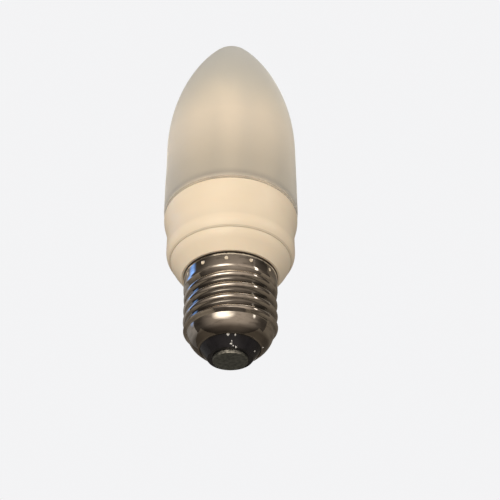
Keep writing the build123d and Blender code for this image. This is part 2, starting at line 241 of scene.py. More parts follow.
def pick_light(tree, second_when, first, second):
    """One of two lights, by the kind of ray that asks."""
    mix = tree.nodes.new("ShaderNodeMixShader")
    tree.links.new(second_when, mix.inputs["Fac"])
    tree.links.new(first, mix.inputs[1])
    tree.links.new(second, mix.inputs[2])
    return mix.outputs["Shader"]


def build_world():
    """Pale for the camera, the tent for mirrors and glass, plain soft light for the rest."""
    world = bpy.data.worlds.new("light_tent")
    scene.world = world
    world.use_nodes = True
    tree = world.node_tree
    tree.nodes.clear()
    tent = world_light(tree, tent_colour(tree))
    pale = world_light(tree, TENT_PALE)
    plain = world_light(tree, SOFT_COLOUR, SOFT_STRENGTH)
    rays = tree.nodes.new("ShaderNodeLightPath")
    mirrored = node_math(
        tree, "MAXIMUM", rays.outputs["Is Glossy Ray"], rays.outputs["Is Transmission Ray"]
    )
    lit = pick_light(tree, mirrored, plain, tent)
    seen = pick_light(tree, rays.outputs["Is Camera Ray"], lit, pale)
    out = tree.nodes.new("ShaderNodeOutputWorld")
    tree.links.new(seen, out.inputs["Surface"])


build_world()
print("world", scene.world.name, "with", len(scene.world.node_tree.nodes), "nodes")

# %% [markdown]
# ## The floor
# A sheet of pale paper lies well below the lamp, and below the camera too, which looks up. Paper
# could be made white with more light, but all light that reaches it reaches the lamp too. So the
# sheet has a faint glow of its own, and rays that leave the lamp, dull or mirrored, don't see it:
# the floor stays pale from every side, takes the shadow, and adds no light to the lamp.

# %% Floor
FLOOR_LEVEL = -0.32
FLOOR_HALF = 3.0
PAPER_COLOUR = (0.86, 0.86, 0.87, 1.0)
PAPER_GLOW = 0.2


def new_finish(name):
    """An empty material with its Principled shader, ready for nodes."""
    finish = bpy.data.materials.new(name)
    finish.use_nodes = True
    shader = finish.node_tree.nodes["Principled BSDF"]
    return finish, finish.node_tree, shader


def new_card(name, corners, finish):
    """A flat four-cornered card of the studio, which isn't part of the lamp."""
    mesh = bpy.data.meshes.new(name)
    mesh.from_pydata(corners, [], [(0, 1, 2, 3)])
    mesh.materials.append(finish)
    card = bpy.data.objects.new(name, mesh)
    scene.collection.objects.link(card)
    return card


floor_paper, _, floor_shader = new_finish("floor_paper")
floor_shader.inputs["Base Color"].default_value = PAPER_COLOUR
floor_shader.inputs["Roughness"].default_value = 0.9
floor_shader.inputs["Emission Color"].default_value = PAPER_COLOUR
floor_shader.inputs["Emission Strength"].default_value = PAPER_GLOW
floor = new_card("floor", [
    (-FLOOR_HALF, -FLOOR_HALF, FLOOR_LEVEL),
    (FLOOR_HALF, -FLOOR_HALF, FLOOR_LEVEL),
    (FLOOR_HALF, FLOOR_HALF, FLOOR_LEVEL),
    (-FLOOR_HALF, FLOOR_HALF, FLOOR_LEVEL),
], floor_paper)
floor.visible_glossy = False
floor.visible_diffuse = False
print("floor at", FLOOR_LEVEL, "m")

# %% [markdown]
# ## Soft boxes
# A warm soft box stands beside the camera, two dimmer ones stand at the sides, and one hangs above.
# Square area lights give the soft shadows of real boxes. A bright square in the cap, or one that
# shines through the glass from behind, would look like a hole, so the ones in front and at the
# sides are hidden from mirror and glass rays: they give light but don't show. What the metal
# mirrors is set by cards, in the next steps.

# %% Hang the soft boxes
WARM_WHITE = (1.0, 0.94, 0.85)
SOFT_WHITE = (1.0, 0.97, 0.93)
LAMP_MIDDLE = Vector((0.0, 0.0, 0.06))
SOFT_BOXES = (
    # name, place, size, watts, colour, whether metal and glass show it
    ("front_box", (-0.13, -0.62, -0.04), 0.20, 2.4, WARM_WHITE, False),
    ("left_box", (-0.66, -0.22, 0.34), 0.40, 0.95, SOFT_WHITE, False),
    ("right_fill", (0.70, -0.45, 0.28), 0.50, 1.3, SOFT_WHITE, False),
    ("top_box", (0.10, 0.00, 0.90), 0.60, 1.4, SOFT_WHITE, True),
)


def hang_soft_box(name, place, size, watts, colour, shows):
    """A square area light that faces the middle of the lamp."""
    light = bpy.data.lights.new(name, "AREA")
    light.energy = watts
    light.size = size
    light.color = colour
    box = bpy.data.objects.new(name, light)
    turn = (LAMP_MIDDLE - Vector(place)).to_track_quat("-Z", "Y").to_matrix().to_4x4()
    box.matrix_world = Matrix.Translation(place) @ turn
    box.visible_glossy = shows
    box.visible_transmission = shows
    scene.collection.objects.link(box)


for soft_box in SOFT_BOXES:
    hang_soft_box(*soft_box)
print("soft boxes:", [soft_box[0] for soft_box in SOFT_BOXES])

# %% [markdown]
# ## Flags
# Photographers stand cards, called flags, beside and below shiny metal, so that its edges and
# undersides mirror something darker than the tent. The world could hold these dark fields too, but
# a card has a place and a size that are easy to change. Here only mirror rays see the cards: they
# cast no shadow, take no light from the lamp and stay out of the picture. The left flag is of paler
# cloth than the others, because the metal is brighter on that side.

# %% Flag cloth
FLAG_CLOTHS = {"left": (0.6, 0.6, 0.61, 1.0), "right": (0.3, 0.270, 0.231, 1.0)}
flag_cloths = {}
for flag_side, cloth_colour in FLAG_CLOTHS.items():
    cloth, _, cloth_shader = new_finish("flag_cloth_" + flag_side)
    cloth_shader.inputs["Base Color"].default_value = cloth_colour
    cloth_shader.inputs["Roughness"].default_value = 0.95
    flag_cloths[flag_side] = cloth


def mirror_only(card):
    """Let nothing but mirror rays see a card."""
    card.visible_camera = False
    card.visible_diffuse = False
    card.visible_transmission = False
    card.visible_shadow = False


print("flag cloths:", ", ".join(flag_cloths))

# %% [markdown]
# One flag stands at each side, two stand behind the lamp, and one lies on the floor. Between the
# two behind the lamp is an opening, through which the metal still shows the pale tent. All the
# upright ones have the same four corners to work out, so a helper does that.

# %% Stand the flags
FLAG_OUT = 0.95
FLAG_OPENING = 0.24
FLAG_FRONT = 0.20
FLAG_BACK = 1.4
FLAG_LIFT = 0.01
FLAG_FLOOR = FLOOR_LEVEL + FLAG_LIFT
FLAG_TOP = 1.6
FLAG_BELOW = -0.05


def upright_corners(first_across, first_depth, second_across, second_depth):
    """Corners of an upright flag between two places on the floor."""
    return [
        (first_across, first_depth, FLAG_FLOOR),
        (second_across, second_depth, FLAG_FLOOR),
        (second_across, second_depth, FLAG_TOP),
        (first_across, first_depth, FLAG_TOP),
    ]


for flag_side, out in (("left", -FLAG_OUT), ("right", FLAG_OUT)):
    beside = upright_corners(out, FLAG_FRONT, out, FLAG_BACK)
    mirror_only(new_card("flag_" + flag_side, beside, flag_cloths[flag_side]))
    behind = upright_corners(out, FLAG_BACK, math.copysign(FLAG_OPENING, out), FLAG_BACK)
    mirror_only(new_card("flag_behind_" + flag_side, behind, flag_cloths["right"]))
mirror_only(new_card("flag_below", [
    (-FLAG_OUT, FLAG_BELOW, FLAG_FLOOR),
    (FLAG_OUT, FLAG_BELOW, FLAG_FLOOR),
    (FLAG_OUT, FLAG_BACK, FLAG_FLOOR),
    (-FLAG_OUT, FLAG_BACK, FLAG_FLOOR),
], flag_cloths["right"]))
print("flags", FLAG_OUT, "m out, behind and on the floor")

# %% [markdown]
# ## Reflectors
# Where the metal should gleam, a pale card is hung. A lamp could be shown to the metal instead, but
# a hard edge, on a lamp or a card, draws its outline there. So each card glows evenly and only its
# opacity fades: the distance from the card's middle, in its own map, sets how much of it is there.

# %% A glow that fades out
GLEAM_FULL = 0.05
GLEAM_GONE = 0.5
CARD_CENTRE = (0.5, 0.5, 0.0)


def soft_gleam(name, colour, strength):
    """A glow that is whole in the middle of a card and fades out to its edges."""
    finish, tree, shader = new_finish(name)
    shader.inputs["Base Color"].default_value = (0.0, 0.0, 0.0, 1.0)
    shader.inputs["Emission Color"].default_value = (*colour, 1.0)
    shader.inputs["Emission Strength"].default_value = strength
    place = tree.nodes.new("ShaderNodeUVMap").outputs["UV"]
    from_middle = node_vector(tree, "DISTANCE", place, CARD_CENTRE, result="Value")
    opacity = node_range(tree, from_middle, 1.0, 0.0, GLEAM_FULL, GLEAM_GONE, smooth=True)
    tree.links.new(opacity, shader.inputs["Alpha"])
    return finish


print("a reflector fades from", GLEAM_FULL, "to", GLEAM_GONE, "of its width")

# %% [markdown]
# There are three reflectors: a broad warm one near the camera, a narrow one at the right for a thin
# line of light, and a cool one at the left for a cold edge. Each is turned to face the cap, so its
# corners are worked out from its middle. Its map is one square, corner by corner.

# %% Hang the reflectors
CAP_MIDDLE = Vector((0.0, 0.0, 0.015))
CARD_MAP = ((0.0, 0.0), (1.0, 0.0), (1.0, 1.0), (0.0, 1.0))
REFLECTORS = (
    # name, place, width and height, colour and strength of its gleam
    ("reflector_key", (-0.16, -0.55, -0.03), (0.74, 0.50), (1.0, 0.94, 0.86), 3.6),
    ("reflector_right", (0.54, -0.31, 0.175), (0.13, 0.55), (1.0, 0.97, 0.93), 3.5),
    ("reflector_cool", (-0.62, 0.19, 0.37), (0.36, 0.70), (0.20, 0.42, 1.0), 1.9),
)


def facing_corners(place, size):
    """Corners of a card that faces the cap."""
    middle = Vector(place)
    towards = (CAP_MIDDLE - middle).normalized()
    across = towards.cross(Vector((0.0, 0.0, 1.0))).normalized() * (size[0] / 2)
    upward = across.cross(towards).normalized() * (size[1] / 2)
    return [
        middle - across - upward,
        middle + across - upward,
        middle + across + upward,
        middle - across + upward,
    ]


for reflector_name, reflector_place, reflector_size, gleam_colour, gleam_strength in REFLECTORS:
    gleam = soft_gleam(reflector_name, gleam_colour, gleam_strength)
    reflector = new_card(reflector_name, facing_corners(reflector_place, reflector_size), gleam)
    mirror_only(reflector)
    card_map = reflector.data.uv_layers.new(name="card")
    for corner, spot in zip(card_map.data, CARD_MAP):
        corner.uv = spot
print("reflectors:", [reflector[0] for reflector in REFLECTORS])

# %% [markdown]
# ## Dressing a piece
# Each CAD piece keeps its mesh, and a finish goes into its material slot. The meshes could be
# unwrapped for painted images, but every finish here is worked out from a point's own coordinates
# instead. It then needs no map, follows the CAD when that changes, and holds from every side.

# %% A helper that dresses pieces


def dress(finish, *names):
    """Give these CAD pieces one finish."""
    for name in names:
        piece = nodes[name]
        piece.data.materials.clear()
        piece.data.materials.append(finish)
    print(finish.name, "on", ", ".join(names))


print("pieces to dress:", len(nodes))

# %% [markdown]
# ## Cream plastic
# The collar and the bowl are moulded from heat-proof plastic that has yellowed a little. One flat
# colour would look like paint. A broad noise that drifts between two creams gives the faint clouds
# that heat leaves in a real moulding.

# %% Cream colour
CREAM_TONES = ((0.30, (0.79, 0.655, 0.485)), (0.70, (0.82, 0.69, 0.52)))


def node_noise(tree, scale, detail):
    """A noise on the piece's own coordinates."""
    place = tree.nodes.new("ShaderNodeTexCoord")
    noise = tree.nodes.new("ShaderNodeTexNoise")
    noise.inputs["Scale"].default_value = scale
    noise.inputs["Detail"].default_value = detail
    tree.links.new(place.outputs["Object"], noise.inputs["Vector"])
    return noise.outputs["Fac"]


cream, cream_tree, cream_shader = new_finish("cream_plastic")
clouds = node_noise(cream_tree, scale=60.0, detail=3.0)
cream_colour = node_ramp(cream_tree, clouds, CREAM_TONES)
print("cream drifts between", CREAM_TONES[0][1], "and", CREAM_TONES[1][1])

# %% [markdown]
# A painted shadow lies in the joint under the cap's rim, where the bowl meets the metal. It could
# be a thin dark ring of its own, but a change of colour is enough. The joint is the only visible
# part of the bowl so near to the axis, and on a turned object the distance from the axis is easy to
# measure.

# %% Painted shadow in the joint
JOINT_SHADOW_RADIUS = 0.01338
JOINT_SHADOW_FADE = 0.00010
JOINT_SHADOW_TONES = ((0.30, (0.06, 0.045, 0.035)), (0.70, (0.12, 0.095, 0.070)))


def node_radius(tree):
    """Distance from the lamp's axis."""
    place = tree.nodes.new("ShaderNodeTexCoord").outputs["Object"]
    flat = node_vector(tree, "MULTIPLY", place, (1.0, 1.0, 0.0))
    return node_vector(tree, "LENGTH", flat, result="Value")


# the dark ring inside this radius is a painted shadow
joint_shadow_mask = node_range(
    cream_tree, node_radius(cream_tree), 1.0, 0.0, JOINT_SHADOW_RADIUS, JOINT_SHADOW_RADIUS + JOINT_SHADOW_FADE
)
joint_shadow_colour = node_ramp(cream_tree, clouds, JOINT_SHADOW_TONES)
with_joint_shadow = node_blend(cream_tree, joint_shadow_mask, cream_colour, joint_shadow_colour)
print("dirt inside a radius of", JOINT_SHADOW_RADIUS, "m")

# %% [markdown]
# Painted shade lies in the crease under the collar's lip and in the hollow above it. It could
# follow the way that each face points, but here it lies in rings, so a mask along the height
# says how much of it there is.

# %% Painted shade in rings
BOWL_FOOT = 0.02705
COLLAR_TOP = 0.04885
CREASE_SHADE_TONES = ((0.30, (0.36, 0.29, 0.21)), (0.70, (0.46, 0.38, 0.28)))
CREASE_SHADE_RINGS = (
    # share of the height from the bowl's foot to the collar's top, and how much painted shade lies
    # there
    (0.000, 0.00), (0.235, 0.00), (0.262, 0.30), (0.270, 0.42), (0.272, 0.00),
    (0.400, 0.00), (0.450, 0.13), (0.560, 0.05), (0.720, 0.00),
)


def node_place(tree, axis):
    """A point's own X, Y or Z."""
    place = tree.nodes.new("ShaderNodeTexCoord")
    split = tree.nodes.new("ShaderNodeSeparateXYZ")
    tree.links.new(place.outputs["Object"], split.inputs["Vector"])
    return split.outputs[axis]


def node_height(tree, low, high, smooth=False):
    """A number that goes from 0 to 1 between two heights on the lamp's axis."""
    return node_range(tree, node_place(tree, "Z"), 0.0, 1.0, low, high, smooth)


def node_mask(tree, source, stops):
    """A grey that changes with a number, given as (position, level) stops."""
    return node_ramp(tree, source, [(position, (level, level, level)) for position, level in stops])


# painted shade in the crease under the lip and in the hollow above it
crease_shade_place = node_mask(cream_tree, node_height(cream_tree, BOWL_FOOT, COLLAR_TOP), CREASE_SHADE_RINGS)
crease_shade_colour = node_ramp(cream_tree, clouds, CREASE_SHADE_TONES)
with_crease_shade = node_blend(cream_tree, crease_shade_place, with_joint_shadow, crease_shade_colour)
cream_tree.links.new(with_crease_shade, cream_shader.inputs["Base Color"])
print("dust in", len(CREASE_SHADE_RINGS), "steps of height")

# %% [markdown]
# The mould leaves a very fine grain, which makes the plastic satin. A mesh could not carry such
# a fine relief, so one small noise drives both the gloss and a shallow bump. A little light also
# goes into the plastic and comes out again, which softens its edges: that is the subsurface weight.

# %% Grain of the cream
GRAIN_GLOSS = (0.34, 0.46)


def node_bump(tree, height, strength, distance, under=None):
    """A bumpy normal from a height, laid over another bump if there is one."""
    bump = tree.nodes.new("ShaderNodeBump")
    bump.inputs["Strength"].default_value = strength
    bump.inputs["Distance"].default_value = distance
    tree.links.new(height, bump.inputs["Height"])
    if under is not None:
        tree.links.new(under, bump.inputs["Normal"])
    return bump.outputs["Normal"]


grain = node_noise(cream_tree, scale=4200.0, detail=2.0)
cream_tree.links.new(node_range(cream_tree, grain, *GRAIN_GLOSS), cream_shader.inputs["Roughness"])
cream_relief = node_bump(cream_tree, grain, strength=0.12, distance=0.00004)
cream_tree.links.new(cream_relief, cream_shader.inputs["Normal"])
cream_shader.inputs["Subsurface Weight"].default_value = 0.12
cream_shader.inputs["Subsurface Radius"].default_value = (1.0, 0.6, 0.35)
cream_shader.inputs["Subsurface Scale"].default_value = 0.0012
dress(cream, "collar", "lower_housing")

# %% [markdown]
# ## Frosted glass
# The globe is blown glass, etched until it scatters all the light that passes. Its beige tint has
# painted light and shade in it: painted shade makes it greyer at the tip, where the tube is far
# away, and darker near the neck, where the tube's feet are; a painted glow makes it palest over
# the middle of the tube. A thin painted highlight runs round the shoulder, with a thin line of
# painted shade just above it. All this changes with height only, so one ramp sets the colour.

# %% Tint of the glass, with painted light and shade
GLOBE_FOOT = 0.0486
GLOBE_TIP = 0.1197
GLASS_TINT_AND_SHADE = (
    # share of the globe's height, and the colour of the glass there, painted light and shade
    # included
    (0.000, (0.72, 0.665, 0.575)),
    (0.012, (0.69, 0.635, 0.55)),
    (0.022, (0.44, 0.41, 0.36)),
    (0.045, (0.575, 0.535, 0.46)),
    (0.125, (0.605, 0.56, 0.48)),
    (0.293, (0.74, 0.68, 0.585)),
    (0.380, (0.775, 0.71, 0.61)),
    (0.470, (0.735, 0.68, 0.585)),
    (0.620, (0.62, 0.585, 0.515)),
    (0.800, (0.50, 0.48, 0.43)),
    (1.000, (0.36, 0.345, 0.31)),
)
frosted, frosted_tree, frosted_shader = new_finish("frosted_glass")
globe_height = node_height(frosted_tree, GLOBE_FOOT, GLOBE_TIP)
glass_tint_and_shade = node_ramp(frosted_tree, globe_height, GLASS_TINT_AND_SHADE)
frosted_tree.links.new(glass_tint_and_shade, frosted_shader.inputs["Base Color"])
print("glass tint in", len(GLASS_TINT_AND_SHADE), "steps from", GLOBE_FOOT, "to", GLOBE_TIP, "m")

# %% [markdown]
# Etched glass could be made with millions of tiny pits. A rough surface that lets a part of the
# light through does the same: the tube behind it melts into a soft bright body. The shoulder at
# the foot was pressed, not etched, so it stays smoother. Etched glass also looks lighter at
# its edges, which the sheen gives. A closed shell would keep the tube in the dark, so the globe
# casts no shadow, and light reaches the tube as it does through real frosting.

# %% Etching of the glass
ETCHED_GLOSS = (0.60, 0.70)
SHOULDER_POLISH = ((0.004, 0.20), (0.020, 1.00))
frosted_shader.inputs["Transmission Weight"].default_value = 0.58
frosted_shader.inputs["IOR"].default_value = 1.30
frosted_shader.inputs["Sheen Weight"].default_value = 0.5
frosted_shader.inputs["Sheen Roughness"].default_value = 0.45
frosted_shader.inputs["Sheen Tint"].default_value = (0.96, 0.94, 0.88, 1.0)
etching = node_noise(frosted_tree, scale=900.0, detail=3.0)
etched_gloss = node_range(frosted_tree, etching, *ETCHED_GLOSS)
etched_part = node_mask(frosted_tree, globe_height, SHOULDER_POLISH)
glass_gloss = node_math(frosted_tree, "MULTIPLY", etched_gloss, etched_part)
frosted_tree.links.new(glass_gloss, frosted_shader.inputs["Roughness"])
glass_relief = node_bump(frosted_tree, etching, strength=0.05, distance=0.00005)
frosted_tree.links.new(glass_relief, frosted_shader.inputs["Normal"])
dress(frosted, "glass_globe")
nodes["glass_globe"].visible_shadow = False

# %% [markdown]
# ## The tube inside
# The discharge tube is glass with a powder on its inner wall. Unlit it is a chalky, warm white. It
# could be glass with a white core, but through the frosting only its colour counts, so one smooth
# opaque finish with a slow drift between two tones will do.

# %% Tube powder
POWDER_TONES = ((0.30, (0.84, 0.71, 0.56)), (0.70, (0.88, 0.77, 0.63)))
powder, powder_tree, powder_shader = new_finish("tube_powder")
powder_cloud = node_noise(powder_tree, scale=160.0, detail=2.0)
powder_colour = node_ramp(powder_tree, powder_cloud, POWDER_TONES)
powder_tree.links.new(powder_colour, powder_shader.inputs["Base Color"])
powder_shader.inputs["Roughness"].default_value = 0.25
dress(powder, "discharge_tube")

# %% [markdown]
# ## Plated metal
# The screw shell is thin sheet with nickel on it, handled and scratched by lampholders. Old
# nickel is a warm, brownish mirror. The plate is lighter on the crests of the thread and darker in
# the valleys. Blender can find edges with its pointiness value, but that depends on how fine the
# mesh is, and the distance from the axis is exact. The rounded underside lies nearer to the axis
# than any valley and yet is not dark, so below its upper edge a fixed share of the crest colour
# takes over.

# %% Crests, valleys and the underside
VALLEY_RADIUS = 0.01205
CREST_RADIUS = 0.0131
UNDERSIDE_TOP = 0.0086
UNDERSIDE_FADE = 0.0005
UNDERSIDE_CREST_SHARE = 0.59
VALLEY_TONES = ((0.30, (0.220, 0.194, 0.163)), (0.72, (0.290, 0.262, 0.227)))
CREST_TONES = ((0.30, (0.696, 0.618, 0.528)), (0.72, (0.888, 0.810, 0.708)))
nickel, nickel_tree, nickel_shader = new_finish("nickel_plate")
nickel_radius = node_radius(nickel_tree)
towards_crest = node_range(nickel_tree, nickel_radius, 0.0, 1.0, VALLEY_RADIUS, CREST_RADIUS)
above_underside = node_height(nickel_tree, UNDERSIDE_TOP, UNDERSIDE_TOP + UNDERSIDE_FADE)
underside = node_range(nickel_tree, above_underside, UNDERSIDE_CREST_SHARE, 0.0)
crest_share = node_math(nickel_tree, "MAXIMUM", towards_crest, underside)
patches = node_noise(nickel_tree, scale=160.0, detail=4.0)
valley_colour = node_ramp(nickel_tree, patches, VALLEY_TONES)
crest_colour = node_ramp(nickel_tree, patches, CREST_TONES)
nickel_colour = node_blend(nickel_tree, crest_share, valley_colour, crest_colour)
print("plate is dirty at a radius of", VALLEY_RADIUS, "and bright at", CREST_RADIUS, "m")

# %% [markdown]
# Lampholders rub the cap as it turns, so its tarnish lies in streaks round the axis. A noise that
# is squeezed along the axis gives such streaks: fine in height, long round the ring. Painted shade
# darkens both ends, the lip below and the skirt under the rim above, in the tarnish's colour, and
# a mask along the height puts it there.

# %% Tarnish and painted shade
CAP_RIM = 0.0267
TARNISH_PLACE = ((0.50, 0.0), (0.72, 0.55))
TARNISH_AND_SHADE_TONES = ((0.30, (0.12, 0.10, 0.08)), (0.70, (0.20, 0.17, 0.14)))
END_SHADE_RINGS = ((0.184, 0.88), (0.222, 0.00), (0.850, 0.00), (0.900, 0.20), (0.975, 0.45))


def node_rings(tree, scale, squeeze, detail):
    """Noise drawn out round the lamp's axis: fine along Z, long round the ring."""
    place = tree.nodes.new("ShaderNodeTexCoord")
    stretch = tree.nodes.new("ShaderNodeMapping")
    stretch.inputs["Scale"].default_value = (1.0, 1.0, squeeze)
    tree.links.new(place.outputs["Object"], stretch.inputs["Vector"])
    noise = tree.nodes.new("ShaderNodeTexNoise")
    noise.inputs["Scale"].default_value = scale
    noise.inputs["Detail"].default_value = detail
    tree.links.new(stretch.outputs["Vector"], noise.inputs["Vector"])
    return noise.outputs["Fac"]


tarnish = node_rings(nickel_tree, scale=300.0, squeeze=3.5, detail=6.0)
tarnish_place = node_mask(nickel_tree, tarnish, TARNISH_PLACE)
tarnish_and_shade_colour = node_ramp(nickel_tree, patches, TARNISH_AND_SHADE_TONES)
tarnished = node_blend(nickel_tree, tarnish_place, nickel_colour, tarnish_and_shade_colour)
# painted shade at both ends of the cap, in the tarnish's colour
end_shade_place = node_mask(nickel_tree, node_height(nickel_tree, 0.0, CAP_RIM), END_SHADE_RINGS)
with_end_shade = node_blend(nickel_tree, end_shade_place, tarnished, tarnish_and_shade_colour)
print("tarnish streaks, and soot in", len(END_SHADE_RINGS), "steps up to", CAP_RIM, "m")

# %% [markdown]
# Two reliefs are too fine for the solids. Scratches run round the cap, from another squeezed noise.
# And where the skirt was rolled in above the thread, the sheet turns in a small radius: the
# solid has a small cone there, and a shallow bump along the height rounds it, so that it catches
# a line of light. One bump is laid over the other.

# %% Gloss, scratches and the rolled foot of the skirt
NICKEL_GLOSS = (0.01, 0.10)
ROLL_FOOT = 0.02205
ROLL_TOP = 0.02315
ROLL_DEPTH = 0.00021
nickel_gloss = node_range(nickel_tree, patches, *NICKEL_GLOSS)
nickel_tree.links.new(nickel_gloss, nickel_shader.inputs["Roughness"])
scratches = node_rings(nickel_tree, scale=260.0, squeeze=14.0, detail=4.0)
scratched = node_bump(nickel_tree, scratches, strength=0.14, distance=0.00006)
rolled_in = node_height(nickel_tree, ROLL_FOOT, ROLL_TOP, smooth=True)
rolled = node_bump(nickel_tree, rolled_in, strength=1.0, distance=ROLL_DEPTH, under=scratched)
nickel_tree.links.new(rolled, nickel_shader.inputs["Normal"])
print("the skirt rolls in between", ROLL_FOOT, "and", ROLL_TOP, "m")

# %% [markdown]
# The staking punches have gone through the plate, so the cream plastic shows in them. The solid has
# the hollows, and they need only their colour. Faces could be picked one by one, but the hollows
# are the only places of the skirt that lie a little inside its radius, which gives a mask.

# %% Punches through the plate
SKIRT_FOOT = 0.0226
SKIRT_TOP = 0.0262
PUNCH_INNER = 0.01295
PUNCH_OUTER = 0.01318
SKIRT_BAND = ((0.00, 0.0), (0.05, 1.0), (0.95, 1.0), (1.00, 0.0))
PUNCH_BAND = ((0.00, 0.0), (0.05, 1.0), (0.90, 1.0), (1.00, 0.0))
on_skirt = node_mask(nickel_tree, node_height(nickel_tree, SKIRT_FOOT, SKIRT_TOP), SKIRT_BAND)
punch_depth = node_range(nickel_tree, nickel_radius, 0.0, 1.0, PUNCH_INNER, PUNCH_OUTER)
in_punch = node_mask(nickel_tree, punch_depth, PUNCH_BAND)
pierced = node_math(nickel_tree, "MULTIPLY", on_skirt, in_punch)
print("punches between radii of", PUNCH_INNER, "and", PUNCH_OUTER, "m")

# %% [markdown]
# Two edges get a painted highlight: the rim, in patches, and a little of the lip round the black
# glass. Each edge is found by its height or its distance from the axis. There, and in the punches,
# the finish is pale and no longer a metal, so one mask drives both the colour and the metallic
# value.

# %% Painted highlights on the edges, and the whole plate
RIM_EDGE = 0.02605
LIP_EDGE = 0.00885
LIP_HIGHLIGHT = 0.12
EDGE_FADE = 0.0001
RIM_PATCHES = ((0.42, 0.10), (0.56, 0.85))
PUNCH_AND_HIGHLIGHT_TONES = ((0.30, (0.60, 0.50, 0.38)), (0.70, (0.74, 0.64, 0.50)))
# painted highlights on the rim and on the lip
rim_edge = node_height(nickel_tree, RIM_EDGE, RIM_EDGE + EDGE_FADE)
rim_patches = node_mask(nickel_tree, patches, RIM_PATCHES)
rim_highlight = node_math(nickel_tree, "MULTIPLY", rim_edge, rim_patches)
lip_highlight = node_range(nickel_tree, nickel_radius, LIP_HIGHLIGHT, 0.0, LIP_EDGE, LIP_EDGE + EDGE_FADE)
painted_edges = node_math(nickel_tree, "MAXIMUM", rim_highlight, lip_highlight)
punch_or_highlight = node_math(nickel_tree, "MAXIMUM", pierced, painted_edges)
punch_and_highlight_colour = node_ramp(nickel_tree, patches, PUNCH_AND_HIGHLIGHT_TONES)
cap_colour = node_blend(nickel_tree, punch_or_highlight, with_end_shade, punch_and_highlight_colour)
nickel_tree.links.new(cap_colour, nickel_shader.inputs["Base Color"])
metallic_share = node_range(nickel_tree, punch_or_highlight, 1.0, 0.0)
nickel_tree.links.new(metallic_share, nickel_shader.inputs["Metallic"])
dress(nickel, "screw_shell")

# %% [markdown]
# ## Black glass
# The insulator is poured black glass, so it is glossy and a little wavy. A clear coat over black
# could give the gloss, but poured glass has no second layer: a dark base, a low roughness that
# drifts, and a bump for the waves are closer to it. Handling has dulled it, so its mirror is weaker
# than that of new glass.

# %% Black glass
BLACK_TONES = ((0.30, (0.010, 0.009, 0.010)), (0.70, (0.020, 0.018, 0.020)))
BLACK_GLOSS = (0.10, 0.24)
black_glass, black_tree, black_shader = new_finish("black_glass")
pour = node_noise(black_tree, scale=420.0, detail=3.0)
black_tree.links.new(node_ramp(black_tree, pour, BLACK_TONES), black_shader.inputs["Base Color"])
black_tree.links.new(node_range(black_tree, pour, *BLACK_GLOSS), black_shader.inputs["Roughness"])
pour_waves = node_bump(black_tree, pour, strength=0.35, distance=0.0003)
black_tree.links.new(pour_waves, black_shader.inputs["Normal"])
black_shader.inputs["Specular IOR Level"].default_value = 0.3
dress(black_glass, "cap_insulator")

# %% [markdown]
# ## The contact
# The contact is a stamped disc that has gone dull, with scuffs from the lampholder's spring. Each
# scuff could be drawn by hand, but a fine noise with much detail looks like years of them, and it
# drives colour, gloss and bump together. Part of the metal is oxide by now, so the finish is only
# partly metallic.

# %% Scuffed contact metal
SCUFF_TONES = ((0.35, (0.065, 0.067, 0.055)), (0.68, (0.160, 0.160, 0.135)))
SCUFF_GLOSS = (0.38, 0.60)
contact_metal, contact_tree, contact_shader = new_finish("contact_metal")
contact_shader.inputs["Metallic"].default_value = 0.7
scuff = node_noise(contact_tree, scale=900.0, detail=5.0)
contact_colour = node_ramp(contact_tree, scuff, SCUFF_TONES)
contact_gloss = node_range(contact_tree, scuff, *SCUFF_GLOSS)
contact_tree.links.new(contact_gloss, contact_shader.inputs["Roughness"])
contact_relief = node_bump(contact_tree, scuff, strength=0.3, distance=0.0001)
contact_tree.links.new(contact_relief, contact_shader.inputs["Normal"])
print("contact gloss from", SCUFF_GLOSS[0], "to", SCUFF_GLOSS[1])

# %% [markdown]
# A painted highlight lies on the edge of the disc, most of all at the front. A bevel could carry a
# finish of its own, but two masks are enough: the distance from the axis finds the edge, and the
# way to the front finds the side.

# %% Painted highlight on the edge of the contact
CONTACT_EDGE = 0.00458
CONTACT_FADE = 0.00010
HIGHLIGHT_FRONT = -0.0046
HIGHLIGHT_BACK = -0.0036
HIGHLIGHT_LEAST = 0.12
CONTACT_HIGHLIGHT_TONES = ((0.35, (0.14, 0.135, 0.115)), (0.62, (0.62, 0.58, 0.50)))
# painted highlight on the disc's edge, strongest at the front
disc_edge_mask = node_range(
    contact_tree, node_radius(contact_tree), 0.0, 1.0, CONTACT_EDGE, CONTACT_EDGE + CONTACT_FADE
)
highlit_side = node_range(
    contact_tree, node_place(contact_tree, "Y"), 1.0, HIGHLIGHT_LEAST, HIGHLIGHT_FRONT, HIGHLIGHT_BACK
)
highlit_part = node_math(contact_tree, "MULTIPLY", disc_edge_mask, highlit_side)
contact_highlight_colour = node_ramp(contact_tree, scuff, CONTACT_HIGHLIGHT_TONES)
contact_with_highlight = node_blend(contact_tree, highlit_part, contact_colour, contact_highlight_colour)
contact_tree.links.new(contact_with_highlight, contact_shader.inputs["Base Color"])
dress(contact_metal, "centre_contact")

# %% [markdown]
# ## The ballast
# Nothing of the ballast shows while the lamp is closed, but the model can be taken apart, so each
# piece has the finish that it has on a bench: brown laminate, a black sleeve, ferrite, enamelled
# wire. Each could have a recipe of its own, but they differ only in colour, gloss and grain, so one
# recipe with a table serves them all.

